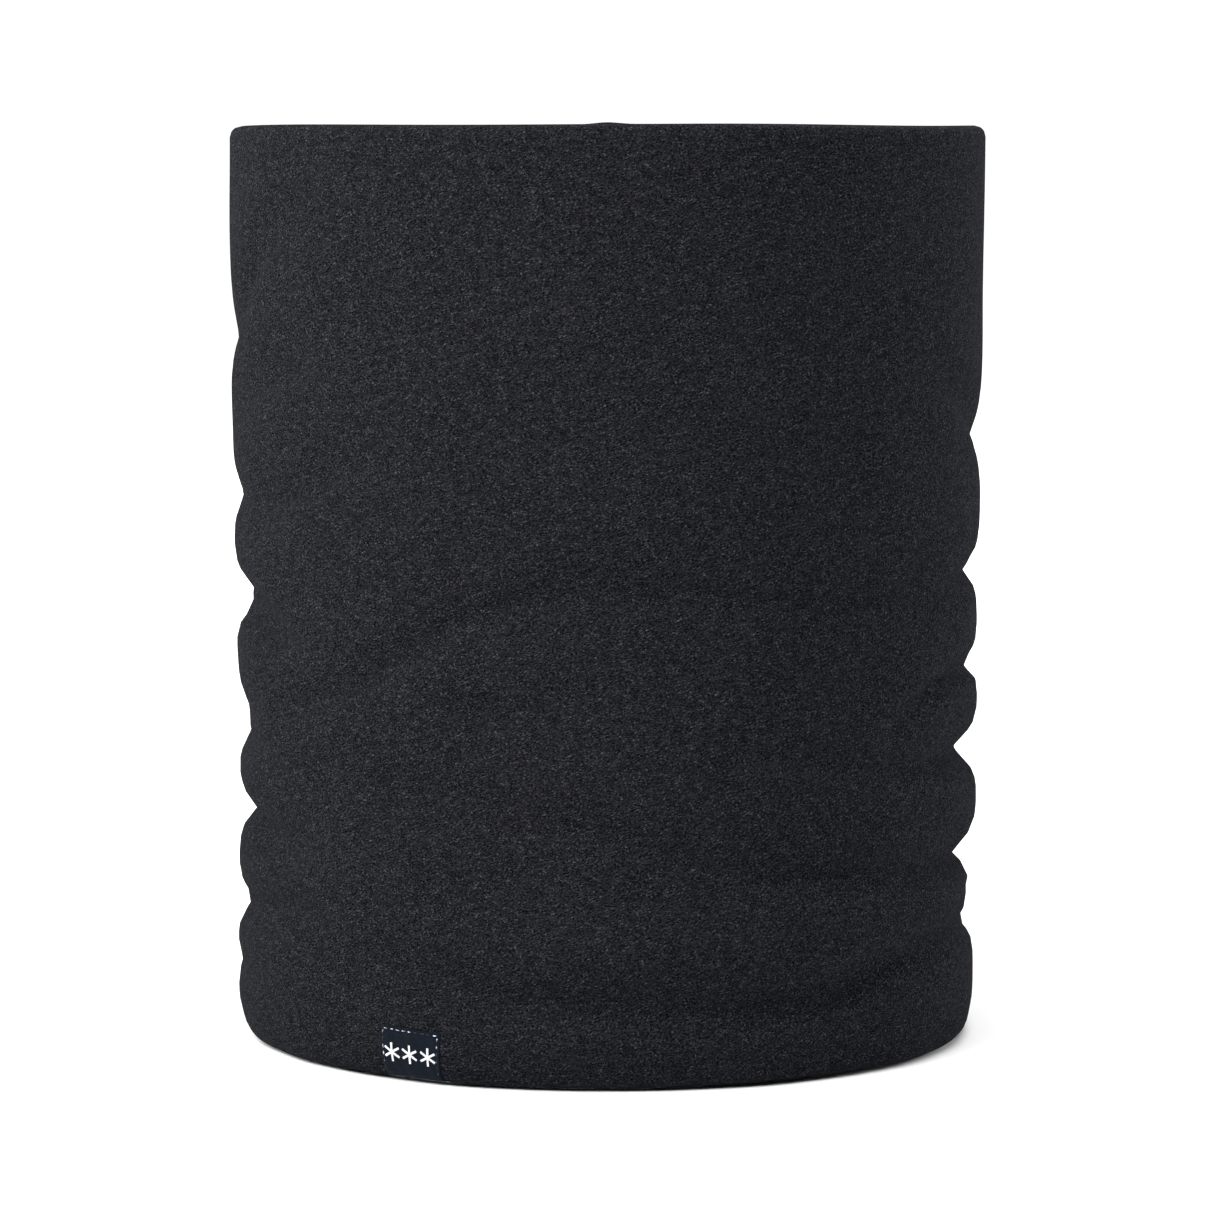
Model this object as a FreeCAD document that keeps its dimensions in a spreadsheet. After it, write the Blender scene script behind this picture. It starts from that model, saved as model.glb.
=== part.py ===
"""Neck gaiter: a two-layer fleece tube for skiing and snowboarding.

The tube stands on its hem. +Z runs up through the neck opening, -Y is the front, and the
origin is the middle of the hem's underside. Lengths are millimetres and angles degrees.

The wall is two layers with a narrow space between them. The outer layer and the lining are
each a length of fleece closed by a seam at the centre back (+Y). Both turn inwards at the
top and at the hem, where their joined margins lie inside the wall.
"""
import FreeCAD, Part
import os

import Sketcher

SIZES = {
    "height": (193.0, "height of the standing tube"),
    "outer_radius": (80.0, "outside radius of the outer layer"),
    "fleece": (1.8, "thickness of one layer of fleece"),
    "space": (1.8, "space between the two layers"),
    "edge_round": (1.2, "rounding of the turned edges"),
    "seam_line": (0.1, "gap between the two layers along a turned edge"),
    "seam_dip": (0.5, "depth of the line that the back seam presses into each layer"),
    "seam_dip_width": (1.0, "width of that line at the surface"),
    "dip_over": (1.0, "how far the tool for that line stands out of the surface"),
    "margin_back": (0.8, "thickness of a back-seam margin, pressed open"),
    "margin_back_width": (16.0, "width of the two back-seam margins together"),
    "margin_ring": (1.2, "thickness of the joined margins inside the top edge"),
    "margin_top_depth": (10.0, "how far the margins reach down from the top edge"),
    "margin_hem_depth": (17.0, "how far the margins reach up from the hem"),
    "play": (0.3, "clearance round a piece that moves"),
    "thread": (0.5, "thickness of the sewing thread"),
    "back_gap_end": (3.0, "space between a back margin's end and the ring margins"),
    "gap_low": (66.0, "lower end of the turning gap in the lining's seam"),
    "gap_high": (126.0, "upper end of the turning gap"),
    "gap_space": (1.0, "space between the gap's hand stitches and the machine stitches"),
    "label_turn": (120.5, "turn of the woven label's middle, clockwise from +X"),
    "label_width": (14.0, "width of the woven label"),
    "label_rise": (11.5, "height of the woven label's two leaves"),
    "label_cloth": (0.6, "thickness of the woven label"),
    "stitch_inset": (0.9, "distance of the label's stitches from its edges"),
    "stitch_width": (0.4, "width of a line of label stitches"),
    "stitch_stand": (0.2, "how far the label's stitches stand out of it"),
    "care_turn": (78.4, "turn of the care label's middle, anticlockwise from +X"),
    "care_length": (28.0, "length of the care label from the seam to its fold"),
    "care_low": (24.0, "height of the care label's lower side"),
    "care_high": (56.0, "height of the care label's upper side"),
    "care_cloth": (0.4, "thickness of the folded care label"),
    "care_set": (0.6, "how far the care label's face lies behind the lining's face"),
    "care_margin": (0.8, "space round the care label's sides in the pressed nap"),
    "quarter": (90.0, "turn of the back seam, anticlockwise from +X"),
}

FULL_TURN = 360.0
LOWEST_VOLUME = 0.01
PARTS = "parts"


def size(name):
    """A driving dimension as a number, for code that finds edges."""
    return SIZES[name][0]


def make_sheet(doc):
    """The spreadsheet that drives every sketch and feature."""
    sheet = doc.addObject("Spreadsheet::Sheet", "Sizes")
    for row, (name, (value, meaning)) in enumerate(SIZES.items(), start=1):
        sheet.set(f"A{row}", meaning)
        sheet.set(f"B{row}", str(value))
        sheet.setAlias(f"B{row}", name)
    doc.recompute()
    return sheet


# Radii and heights that several pieces share, as expressions on the sheet.
OUTER = "Sizes.outer_radius"
OUTER_IN = "Sizes.outer_radius - Sizes.fleece"
LINING_OUT = "Sizes.outer_radius - Sizes.fleece - Sizes.space"
LINING = "Sizes.outer_radius - 2 * Sizes.fleece - Sizes.space"
MIDDLE = "Sizes.outer_radius - Sizes.fleece - Sizes.space / 2"
TOP = "Sizes.height"
TOP_IN = "Sizes.height - Sizes.fleece"
HEM = "0"
HEM_IN = "Sizes.fleece"
RING_OUT = f"{MIDDLE} + Sizes.margin_ring / 2"
RING_IN = f"{MIDDLE} - Sizes.margin_ring / 2"
CHANNEL_OUT = f"{MIDDLE} + Sizes.thread / 2"
CHANNEL_IN = f"{MIDDLE} - Sizes.thread / 2"
RING_TOP = "Sizes.height - Sizes.fleece - Sizes.play"
RING_TOP_LOW = f"{RING_TOP} - Sizes.margin_top_depth"
RING_HEM = "Sizes.fleece + Sizes.play"
RING_HEM_HIGH = f"{RING_HEM} + Sizes.margin_hem_depth"
BACK_LOW = f"{RING_HEM_HIGH} + Sizes.back_gap_end"
BACK_HIGH = f"{RING_TOP_LOW} - Sizes.back_gap_end"
CARE_IN = f"{LINING} + Sizes.care_set"
CARE_OUT = f"{LINING} + Sizes.care_set + Sizes.care_cloth"
LABEL_TURN_AXIS = FreeCAD.Vector(0, -1, 0)
CARE_TURN_AXIS = FreeCAD.Vector(0, 1, 0)


def origin_plane(body, role):
    """The body's own origin plane with this role."""
    return next(f for f in body.Origin.OriginFeatures if f.Role == role)


def sketch_polygon(body, name, corners, plane="XZ_Plane", turn=None):
    """A closed polygon sketch whose corners are bound to the sheet.

    corners is a list of pairs of expressions, measured from the origin along the sketch's two
    axes. turn is an (axis, expression) pair that swings the sketch about the tube's axis.
    """
    sketch = body.newObject("Sketcher::SketchObject", name)
    sketch.AttachmentSupport = [(origin_plane(body, plane), "")]
    sketch.MapMode = "FlatFace"
    if turn:
        axis, expression = turn
        sketch.AttachmentOffset = FreeCAD.Placement(FreeCAD.Vector(), FreeCAD.Rotation(axis, 1.0))
        sketch.setExpression("AttachmentOffset.Rotation.Angle", expression)
    count = len(corners)
    starts = [FreeCAD.Vector(1.0 + i, 1.0 + i * i, 0.0) for i in range(count)]
    for i in range(count):
        sketch.addGeometry(Part.LineSegment(starts[i], starts[(i + 1) % count]), False)
    for i in range(count):
        sketch.addConstraint(Sketcher.Constraint("Coincident", i, 2, (i + 1) % count, 1))
    for i, (along, up) in enumerate(corners):
        bind_distance(sketch, "DistanceX", i, along, starts[i].x)
        if up == HEM:
            sketch.addConstraint(Sketcher.Constraint("PointOnObject", i, 1, -1))
        else:
            bind_distance(sketch, "DistanceY", i, up, starts[i].y)
    return sketch


def bind_distance(sketch, kind, corner, expression, start):
    """Dimension one corner from the origin and bind the dimension to the sheet."""
    index = sketch.addConstraint(Sketcher.Constraint(kind, -1, 1, corner, 1, start))
    name = f"{kind}_{corner}"
    sketch.renameConstraint(index, name)
    sketch.setExpression(f"Constraints.{name}", expression)


def box_profile(inside, outside, low, high):
    """The four corners of a rectangle."""
    return [(inside, low), (outside, low), (outside, high), (inside, high)]


def turned(body, kind, name, sketch, angle=None):
    """Turn a sketch about the tube's axis, all the way round or through an angle."""
    feature = body.newObject(kind, name)
    feature.Profile = sketch
    feature.ReferenceAxis = (sketch, ["V_Axis"])
    feature.Angle = FULL_TURN
    if angle:
        feature.Midplane = True
        feature.setExpression("Angle", angle)
    sketch.Visibility = False
    return feature


def arc_angle(width, radius):
    """The angle that a width along the wall takes at a radius."""
    return f"({width}) / ({radius}) * 1 rad"


def new_body(doc, label, about_z=None):
    """A body with its label, swung about the tube's axis where it has a place of its own."""
    body = doc.addObject("PartDesign::Body", label)
    body.Label = label
    if about_z:
        axis, expression = about_z
        body.Placement = FreeCAD.Placement(FreeCAD.Vector(), FreeCAD.Rotation(axis, 1.0))
        body.setExpression("Placement.Rotation.Angle", expression)
    return body


def check_cut(doc, body, cut, base):
    """A cut that removes nothing has the wrong direction."""
    doc.recompute()
    if cut.Shape.Volume > base.Shape.Volume - LOWEST_VOLUME:
        raise RuntimeError(f"{cut.Name} removes nothing from {body.Label}")


def round_edges(body, base, radius_expression, circle_radius):
    """Round the top and hem circles that have this radius."""
    names = []
    for i, edge in enumerate(base.Shape.Edges, start=1):
        curve = edge.Curve
        at_end = min(abs(edge.BoundBox.ZMin), abs(edge.BoundBox.ZMax - size("height"))) < 1e-6
        level = edge.BoundBox.ZLength < 1e-6
        if isinstance(curve, Part.Circle) and level and at_end:
            if abs(curve.Radius - circle_radius) < 1e-6:
                names.append(f"Edge{i}")
    fillet = body.newObject("PartDesign::Fillet", f"{body.Name}_rounds")
    fillet.Base = (base, names)
    fillet.setExpression("Radius", radius_expression)
    return fillet


def seam_dip(doc, body, base, surface, outwards):
    """Press the back seam's line into a layer: a shallow V from the hem to the top."""
    sign, back = ("-", "+") if outwards else ("+", "-")
    apex = f"{surface} {sign} Sizes.seam_dip"
    mouth = f"{surface} {back} Sizes.dip_over"
    wide = "Sizes.seam_dip_width"
    turn = (FreeCAD.Vector(0, 0, 1), "Sizes.quarter")
    corners = [(apex, HEM), (mouth, wide), (mouth, f"-({wide})")]
    sketch = sketch_polygon(body, f"{body.Name}_dip_line", corners, "XY_Plane", turn)
    pocket = body.newObject("PartDesign::Pocket", f"{body.Name}_dip")
    pocket.Profile = sketch
    pocket.Type = "ThroughAll"
    pocket.Reversed = True
    sketch.Visibility = False
    check_cut(doc, body, pocket, base)
    return pocket


def make_outer_shell(doc):
    """The outer layer: a tube whose top and hem turn in to the middle of the wall."""
    body = new_body(doc, "outer_shell")
    edge = f"{MIDDLE} + Sizes.seam_line / 2"
    corners = [
        (edge, HEM),
        (OUTER, HEM),
        (OUTER, TOP),
        (edge, TOP),
        (edge, TOP_IN),
        (OUTER_IN, TOP_IN),
        (OUTER_IN, HEM_IN),
        (edge, HEM_IN),
    ]
    wall = turned(body, "PartDesign::Revolution", "outer_wall",
                  sketch_polygon(body, "outer_section", corners))
    doc.recompute()
    rounds = round_edges(body, wall, "Sizes.edge_round", size("outer_radius"))
    doc.recompute()
    dip = seam_dip(doc, body, rounds, OUTER, True)
    notch = label_notch(body, "outer_notch", LINING_OUT, f"{OUTER} + Sizes.label_cloth")
    check_cut(doc, body, notch, dip)
    return body


def label_notch(body, name, inside, outside):
    """The press of the woven label's fold into the hem's underside."""
    corners = box_profile(inside, outside, HEM, "Sizes.label_cloth")
    sketch = sketch_polygon(body, f"{name}_section", corners,
                            turn=(LABEL_TURN_AXIS, "Sizes.label_turn"))
    return turned(body, "PartDesign::Groove", name, sketch, arc_angle("Sizes.label_width", OUTER))


def make_lining(doc):
    """The lining: the inner tube, with the nap pressed down where the two labels lie."""
    body = new_body(doc, "lining")
    edge = f"{MIDDLE} - Sizes.seam_line / 2"
    corners = [
        (LINING, HEM),
        (edge, HEM),
        (edge, HEM_IN),
        (LINING_OUT, HEM_IN),
        (LINING_OUT, TOP_IN),
        (edge, TOP_IN),
        (edge, TOP),
        (LINING, TOP),
    ]
    wall = turned(body, "PartDesign::Revolution", "lining_wall",
                  sketch_polygon(body, "lining_section", corners))
    doc.recompute()
    bore = size("outer_radius") - 2 * size("fleece") - size("space")
    rounds = round_edges(body, wall, "Sizes.edge_round", bore)
    doc.recompute()
    dip = seam_dip(doc, body, rounds, LINING, False)
    leaf = [
        (f"{LINING} - Sizes.dip_over", HEM),
        (MIDDLE, HEM),
        (MIDDLE, "Sizes.label_cloth"),
        (f"{LINING} + Sizes.label_cloth", "Sizes.label_cloth"),
        (f"{LINING} + Sizes.label_cloth", "Sizes.label_rise"),
        (f"{LINING} - Sizes.dip_over", "Sizes.label_rise"),
    ]
    sketch = sketch_polygon(body, "leaf_section", leaf,
                            turn=(LABEL_TURN_AXIS, "Sizes.label_turn"))
    press = turned(body, "PartDesign::Groove", "leaf_press", sketch,
                   arc_angle("Sizes.label_width", OUTER))
    check_cut(doc, body, press, dip)
    bed = box_profile(f"{LINING} - Sizes.dip_over", f"{CARE_OUT} + Sizes.play",
                      "Sizes.care_low - Sizes.care_margin", "Sizes.care_high + Sizes.care_margin")
    sketch = sketch_polygon(body, "care_bed_section", bed,
                            turn=(CARE_TURN_AXIS, "Sizes.care_turn"))
    width = "Sizes.care_length + 2 * Sizes.care_margin"
    pocket = turned(body, "PartDesign::Groove", "care_bed", sketch, arc_angle(width, CARE_OUT))
    check_cut(doc, body, pocket, press)
    return body


def make_back_margins(doc, label, cloth_face, free_face, channel):
    """The two margins of a back seam, pressed open, with a channel along their middle."""
    body = new_body(doc, label, (FreeCAD.Vector(0, 0, 1), "Sizes.quarter"))
    inner, outer = sorted_radii(cloth_face, free_face, label)
    strip = turned(body, "PartDesign::Revolution", f"{label}_strip",
                   sketch_polygon(body, f"{label}_section",
                                  box_profile(inner, outer, BACK_LOW, BACK_HIGH)),
                   arc_angle("Sizes.margin_back_width", MIDDLE))
    doc.recompute()
    low, high = channel
    groove = turned(body, "PartDesign::Groove", f"{label}_channel",
                    sketch_polygon(body, f"{label}_channel_section",
                                   box_profile(low, high, BACK_LOW, BACK_HIGH)),
                    arc_angle("Sizes.thread", MIDDLE))
    check_cut(doc, body, groove, strip)
    return body


def sorted_radii(cloth_face, free_face, label):
    """The strip's faces, inner one first: the outer layer's margins lie inside its cloth."""
    if label.startswith("outer"):
        return free_face, cloth_face
    return cloth_face, free_face


def make_ring(doc, label, corners):
    """A ring of the given section, turned all the way round."""
    body = new_body(doc, label)
    turned(body, "PartDesign::Revolution", f"{label}_ring",
           sketch_polygon(body, f"{label}_section", corners))
    return body


def make_top_margins(doc):
    """The joined margins inside the top edge, with a channel on top for their stitches."""
    bed = f"{RING_TOP} - Sizes.thread"
    return make_ring(doc, "top_margins", [
        (RING_IN, RING_TOP_LOW), (RING_OUT, RING_TOP_LOW), (RING_OUT, RING_TOP),
        (CHANNEL_OUT, RING_TOP), (CHANNEL_OUT, bed), (CHANNEL_IN, bed),
        (CHANNEL_IN, RING_TOP), (RING_IN, RING_TOP),
    ])


def make_hem_margins(doc):
    """The joined margins inside the hem, with a channel underneath for their stitches."""
    bed = f"{RING_HEM} + Sizes.thread"
    return make_ring(doc, "hem_margins", [
        (RING_IN, RING_HEM), (CHANNEL_IN, RING_HEM), (CHANNEL_IN, bed), (CHANNEL_OUT, bed),
        (CHANNEL_OUT, RING_HEM), (RING_OUT, RING_HEM), (RING_OUT, RING_HEM_HIGH),
        (RING_IN, RING_HEM_HIGH),
    ])


def make_thread_ring(doc, label, level):
    """A ring of stitches, as thick as its thread."""
    ring = doc.addObject("Part::Torus", label)
    ring.Label = label
    ring.setExpression("Radius1", MIDDLE)
    ring.setExpression("Radius2", "Sizes.thread / 2")
    ring.setExpression("Placement.Base.z", level)
    return ring


def make_thread_run(doc, name, radius, low, high):
    """A run of stitches up the back seam."""
    run = doc.addObject("Part::Cylinder", name)
    run.Label = name
    run.setExpression("Radius", "Sizes.thread / 2")
    run.setExpression("Height", f"({high}) - ({low})")
    run.setExpression("Placement.Base.y", radius)
    run.setExpression("Placement.Base.z", low)
    return run


def make_lining_stitches(doc, radius):
    """The machine stitches of the lining's seam, below and above the turning gap."""
    lower = make_thread_run(doc, "lining_stitches_lower", radius, BACK_LOW,
                            "Sizes.gap_low - Sizes.gap_space")
    upper = make_thread_run(doc, "lining_stitches_upper", radius,
                            "Sizes.gap_high + Sizes.gap_space", BACK_HIGH)
    both = doc.addObject("Part::MultiFuse", "lining_back_stitches")
    both.Label = "lining_back_stitches"
    both.Shapes = [lower, upper]
    return both


def make_woven_label(doc):
    """The woven label: a tape folded under the hem, with a leaf on each side of the wall."""
    body = new_body(doc, "woven_label", (FreeCAD.Vector(0, 0, -1), "Sizes.label_turn"))
    face = f"{OUTER} + Sizes.label_cloth"
    inner = f"{LINING} + Sizes.label_cloth"
    corners = [
        (LINING, HEM), (face, HEM), (face, "Sizes.label_rise"), (OUTER, "Sizes.label_rise"),
        (OUTER, "Sizes.label_cloth"), (inner, "Sizes.label_cloth"),
        (inner, "Sizes.label_rise"), (LINING, "Sizes.label_rise"),
    ]
    turned(body, "PartDesign::Revolution", "label_tape",
           sketch_polygon(body, "label_section", corners), arc_angle("Sizes.label_width", OUTER))
    return body


def make_label_stitches(doc):
    """The stitches across the woven label's top and down its two sides."""
    body = new_body(doc, "label_stitches", (FreeCAD.Vector(0, 0, -1), "Sizes.label_turn"))
    face = f"{OUTER} + Sizes.label_cloth"
    proud = f"{face} + Sizes.stitch_stand"
    high = "Sizes.label_rise - Sizes.stitch_inset"
    plate = turned(body, "PartDesign::Revolution", "stitch_field",
                   sketch_polygon(body, "stitch_field_section",
                                  box_profile(face, proud, "Sizes.stitch_inset", high)),
                   arc_angle("Sizes.label_width - 2 * Sizes.stitch_inset", OUTER))
    doc.recompute()
    inside = box_profile(MIDDLE, f"{proud} + Sizes.stitch_stand", HEM,
                         f"{high} - Sizes.stitch_width")
    clear = turned(body, "PartDesign::Groove", "stitch_clear",
                   sketch_polygon(body, "stitch_clear_section", inside),
                   arc_angle("Sizes.label_width - 2 * Sizes.stitch_inset"
                             " - 2 * Sizes.stitch_width", OUTER))
    check_cut(doc, body, clear, plate)
    return body


def make_care_label(doc):
    """The care label: a folded satin tape caught in the lining's seam, lying along the wall."""
    body = new_body(doc, "care_label", (FreeCAD.Vector(0, 0, 1), "Sizes.care_turn"))
    turned(body, "PartDesign::Revolution", "care_tape",
           sketch_polygon(body, "care_section",
                          box_profile(CARE_IN, CARE_OUT, "Sizes.care_low", "Sizes.care_high")),
           arc_angle("Sizes.care_length", CARE_OUT))
    return body


def make_pieces(doc):
    """Every piece of the gaiter."""
    outer_free = f"{OUTER_IN} - Sizes.margin_back"
    lining_free = f"{LINING_OUT} + Sizes.margin_back"
    outer_thread = f"{outer_free} + Sizes.thread / 2"
    lining_thread = f"{lining_free} - Sizes.thread / 2"
    return [
        make_outer_shell(doc),
        make_lining(doc),
        make_back_margins(doc, "outer_back_margins", OUTER_IN, outer_free,
                          (outer_free, f"{outer_free} + Sizes.thread")),
        make_back_margins(doc, "lining_back_margins", LINING_OUT, lining_free,
                          (f"{lining_free} - Sizes.thread", lining_free)),
        make_thread_run(doc, "outer_back_stitches", outer_thread, BACK_LOW, BACK_HIGH),
        make_lining_stitches(doc, lining_thread),
        make_thread_run(doc, "turning_gap_stitches", lining_thread, "Sizes.gap_low",
                        "Sizes.gap_high"),
        make_top_margins(doc),
        make_thread_ring(doc, "top_stitches", f"{RING_TOP} - Sizes.thread / 2"),
        make_hem_margins(doc),
        make_thread_ring(doc, "hem_stitches", f"{RING_HEM} + Sizes.thread / 2"),
        make_woven_label(doc),
        make_label_stitches(doc),
        make_care_label(doc),
    ]


def check_document(doc, pieces):
    """Stop on any failed object and on any piece without a sound solid."""
    for item in doc.Objects:
        failed = {"Invalid", "Error"} & set(item.State)
        if failed:
            raise RuntimeError(f"{item.Name} is {', '.join(failed)}")
    for piece in pieces:
        shape = piece.Shape
        if shape.isNull() or not shape.isValid() or shape.Volume < LOWEST_VOLUME:
            raise RuntimeError(f"{piece.Label} has no sound solid")


def write_parts(pieces):
    """Write each piece as a STEP file named after it."""
    for piece in pieces:
        piece.Shape.exportStep(os.path.join(PARTS, f"{piece.Label}.step"))
        box = piece.Shape.BoundBox
        print(f"{piece.Label:22s} {len(piece.Shape.Solids)} solid "
              f"{piece.Shape.Volume:10.2f} mm3  z {box.ZMin:7.2f} to {box.ZMax:7.2f}")


def main():
    """Build the document, check it and write the parts."""
    os.makedirs(PARTS, exist_ok=True)
    doc = FreeCAD.newDocument("NeckGaiter")
    make_sheet(doc)
    pieces = make_pieces(doc)
    doc.recompute()
    check_document(doc, pieces)
    write_parts(pieces)


main()
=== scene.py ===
"""Neck gaiter: the looks of a two-layer fleece tube that stands on its hem."""

import logging
import math
from collections.abc import Callable, Iterable
from dataclasses import dataclass
from enum import Enum

import bpy
import numpy as np
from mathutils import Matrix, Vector


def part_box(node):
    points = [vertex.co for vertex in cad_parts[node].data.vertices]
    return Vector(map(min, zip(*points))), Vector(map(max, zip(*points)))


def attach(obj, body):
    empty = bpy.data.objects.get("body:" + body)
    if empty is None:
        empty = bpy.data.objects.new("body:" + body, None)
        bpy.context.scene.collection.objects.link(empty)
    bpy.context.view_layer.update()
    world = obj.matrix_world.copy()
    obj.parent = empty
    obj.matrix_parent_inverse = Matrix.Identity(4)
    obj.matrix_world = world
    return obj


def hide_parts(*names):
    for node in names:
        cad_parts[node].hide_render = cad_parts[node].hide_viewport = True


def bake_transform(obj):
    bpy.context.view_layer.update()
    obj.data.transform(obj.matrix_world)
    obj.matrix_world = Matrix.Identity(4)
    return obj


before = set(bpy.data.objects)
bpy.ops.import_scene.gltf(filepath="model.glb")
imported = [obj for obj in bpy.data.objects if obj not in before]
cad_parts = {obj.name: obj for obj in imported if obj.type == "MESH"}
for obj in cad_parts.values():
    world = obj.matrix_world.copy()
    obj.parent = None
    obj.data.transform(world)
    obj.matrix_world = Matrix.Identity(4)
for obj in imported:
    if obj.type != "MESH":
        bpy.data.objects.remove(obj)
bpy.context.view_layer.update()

LOG = logging.getLogger("neck_gaiter")
MM = 0.001
ROOT_BODY = "gaiter"
TOP_BODY = "top_edge"


def turn_from(azimuth: np.ndarray, middle: float) -> np.ndarray:
    """How far azimuths lie from a middle one, from -180 to 180 degrees."""
    return (azimuth - middle + 180.0) % 360.0 - 180.0


def azimuth_of(places: np.ndarray) -> np.ndarray:
    """Each place's azimuth in degrees from the front, growing towards +X."""
    return np.degrees(np.arctan2(places[:, 0], -places[:, 1]))


def bell(distance: np.ndarray, reach: float, power: int = 2) -> np.ndarray:
    """1 in the middle, falling to 1/e at the reach."""
    return np.exp(-((distance / reach) ** power))


def step_down(distance: np.ndarray, softness: float) -> np.ndarray:
    """1 well before a line, 0 well past it."""
    return 1.0 / (1.0 + np.exp(distance / softness))


# ---------------------------------------------------------------- shape of the wall


@dataclass(frozen=True)
class Fold:
    """One valley that runs along the wall.

    Attributes:
        path: (azimuth, height, depth) knots, in degrees from the front, mm and mm.
        above: how far the valley's upper flank reaches, mm.
        below: how far its lower flank reaches, mm.
    """

    path: tuple[tuple[float, float, float], ...]
    above: float = 8.0
    below: float = 5.5


@dataclass(frozen=True)
class Dent:
    """A soft hollow or swelling of the wall.

    Attributes:
        azimuth: middle, degrees from the front.
        height: middle, mm.
        reach: half-width along the wall, degrees.
        rise: half-height, mm.
        depth: how far it lies in, mm; negative stands out.
        slant: millimetres that it climbs per degree.
    """

    azimuth: float
    height: float
    reach: float
    rise: float
    depth: float
    slant: float = 0.0


FRONT_FOLDS = (
    Fold(((-118, 70, 0.0), (-100, 70, 1.2), (-86, 70, 1.8), (-74, 70.5, 1.6), (-64, 72, 1.6),
          (-55, 74.5, 1.8), (-47, 77, 2.0), (-40, 80, 2.1), (-34, 84.5, 2.2), (-29, 89, 2.3),
          (-23, 93.5, 2.4), (-15, 97.8, 2.6), (-5, 100.7, 2.8), (8, 101.2, 2.7),
          (20, 99.7, 2.4), (32, 97.7, 2.1), (45, 96.3, 1.9), (60, 96, 2.2), (75, 98, 3.0),
          (88, 99.6, 4.0), (112, 101, 2.4), (140, 104, 0.0)), 5.2, 5.0),
    Fold(((-30, 72, 0.0), (-22, 75, 1.4), (-14, 77, 1.9), (-6, 77.8, 1.6), (2, 78, 0.6),
          (10, 78, 0.0)), 4.6, 4.2),
    Fold(((-125, 68, 0.0), (-100, 65, 2.0), (-86, 64, 2.8), (-70, 62.5, 1.9), (-55, 60, 1.3),
          (-42, 59.5, 1.2), (-32, 60.5, 1.6), (-20, 57.5, 1.9), (-10, 54.5, 2.1),
          (0, 51.5, 2.3), (10, 48.5, 2.4), (20, 44.5, 2.6), (30, 42, 2.9), (42, 40.8, 3.3),
          (52, 40.5, 3.6), (62, 40, 3.9), (75, 38.7, 4.7), (88, 38.3, 5.6),
          (108, 37, 3.4), (132, 40, 0.0)), 6.0, 4.6),
    Fold(((0, 74, 0.0), (10, 72.3, 0.8), (20, 70, 1.2), (30, 66, 1.9), (40, 63.2, 2.7),
          (50, 62, 3.4), (60, 62, 3.9), (75, 60.7, 4.6), (88, 60.3, 5.6), (105, 60, 3.2),
          (126, 62, 0.0)), 6.0, 5.2),
    Fold(((44, 68, 0.0), (50, 71.2, 1.6), (55, 74.3, 2.3), (60, 76.8, 2.7), (66, 78.5, 2.9),
          (76, 79.2, 3.1), (88, 78.2, 3.2), (104, 77, 1.8), (120, 77, 0.0)), 5.0, 2.6),
    Fold(((-118, 25, 0.0), (-100, 26, 2.0), (-86, 28, 3.2), (-76, 29, 3.5), (-66, 30, 3.9),
          (-58, 30.5, 3.5), (-50, 31, 1.9), (-43, 31, 0.0)), 5.4, 4.8),
    Fold(((-50, 25, 0.0), (-36, 24.5, 1.0), (-25, 22.5, 1.6), (-15, 18, 2.4), (0, 17.2, 3.0),
          (15, 17.2, 3.2), (28, 16.2, 3.4), (36, 17.5, 3.4), (45, 20.5, 3.4), (55, 23, 3.4),
          (66, 24.3, 3.4), (76, 24.3, 3.4), (88, 24, 3.3), (108, 21, 2.8), (134, 20, 0.0)),
         5.4, 4.6),
)
SIDE_FOLDS = (
    Fold(((-112, 95, 0.0), (-98, 95.2, 2.2), (-86, 95.8, 3.6), (-76, 95, 3.0), (-68, 93.5, 1.7),
          (-60, 92, 0.5), (-54, 91, 0.0)), 5.0, 4.4),
    Fold(((-112, 90.5, 0.0), (-98, 90.5, 2.2), (-86, 91.0, 3.4), (-74, 90.6, 3.5),
          (-64, 89.3, 4.2), (-57, 88, 2.4), (-50, 87, 0.0)), 4.8, 4.4),
    Fold(((-120, 47, 0.0), (-100, 47.5, 3.0), (-86, 48, 4.4), (-76, 47, 4.4), (-66, 45.8, 4.2),
          (-58, 45.3, 3.4), (-51, 45.5, 1.4), (-44, 46, 0.0)), 5.6, 4.4),
    Fold(((-120, 112, 0.0), (-104, 113, 1.4), (-86, 114.8, 2.2), (-76, 114, 2.1),
          (-66, 113.5, 2.7), (-58, 115.5, 3.0), (-50, 120, 2.5), (-42, 122.5, 1.5),
          (-34, 124, 0.4), (-28, 124, 0.0)), 7.5, 5.2),
    Fold(((-108, 143, 0.0), (-96, 145, 1.2), (-86, 148.8, 2.0), (-78, 154, 2.4),
          (-70, 161, 2.5), (-63, 167.5, 2.0), (-56, 172, 1.1), (-48, 176, 0.0)), 9.5, 6.5),
    Fold(((-86, 130, 0.0), (-76, 134.5, 1.0), (-68, 138, 1.5), (-60, 141.5, 1.5),
          (-52, 145, 0.9), (-44, 148, 0.0)), 6.5, 6.0),
    Fold(((46, 144, 0.0), (56, 141, 1.0), (64, 138, 1.8), (72, 134.5, 2.3), (80, 129.5, 2.6),
          (88, 125.6, 2.7), (102, 122, 2.0), (124, 120, 0.0)), 8.5, 6.0),
    Fold(((62, 32, 0.0), (74, 32, 1.0), (84, 31, 1.8), (96, 30, 1.6), (110, 28, 0.0)), 4.5, 4.5),
    Fold(((-112, 15, 0.0), (-98, 15, 0.7), (-86, 15, 1.0), (-72, 14, 0.5), (-60, 13, 0.0)),
         3.5, 3.0),
)
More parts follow.
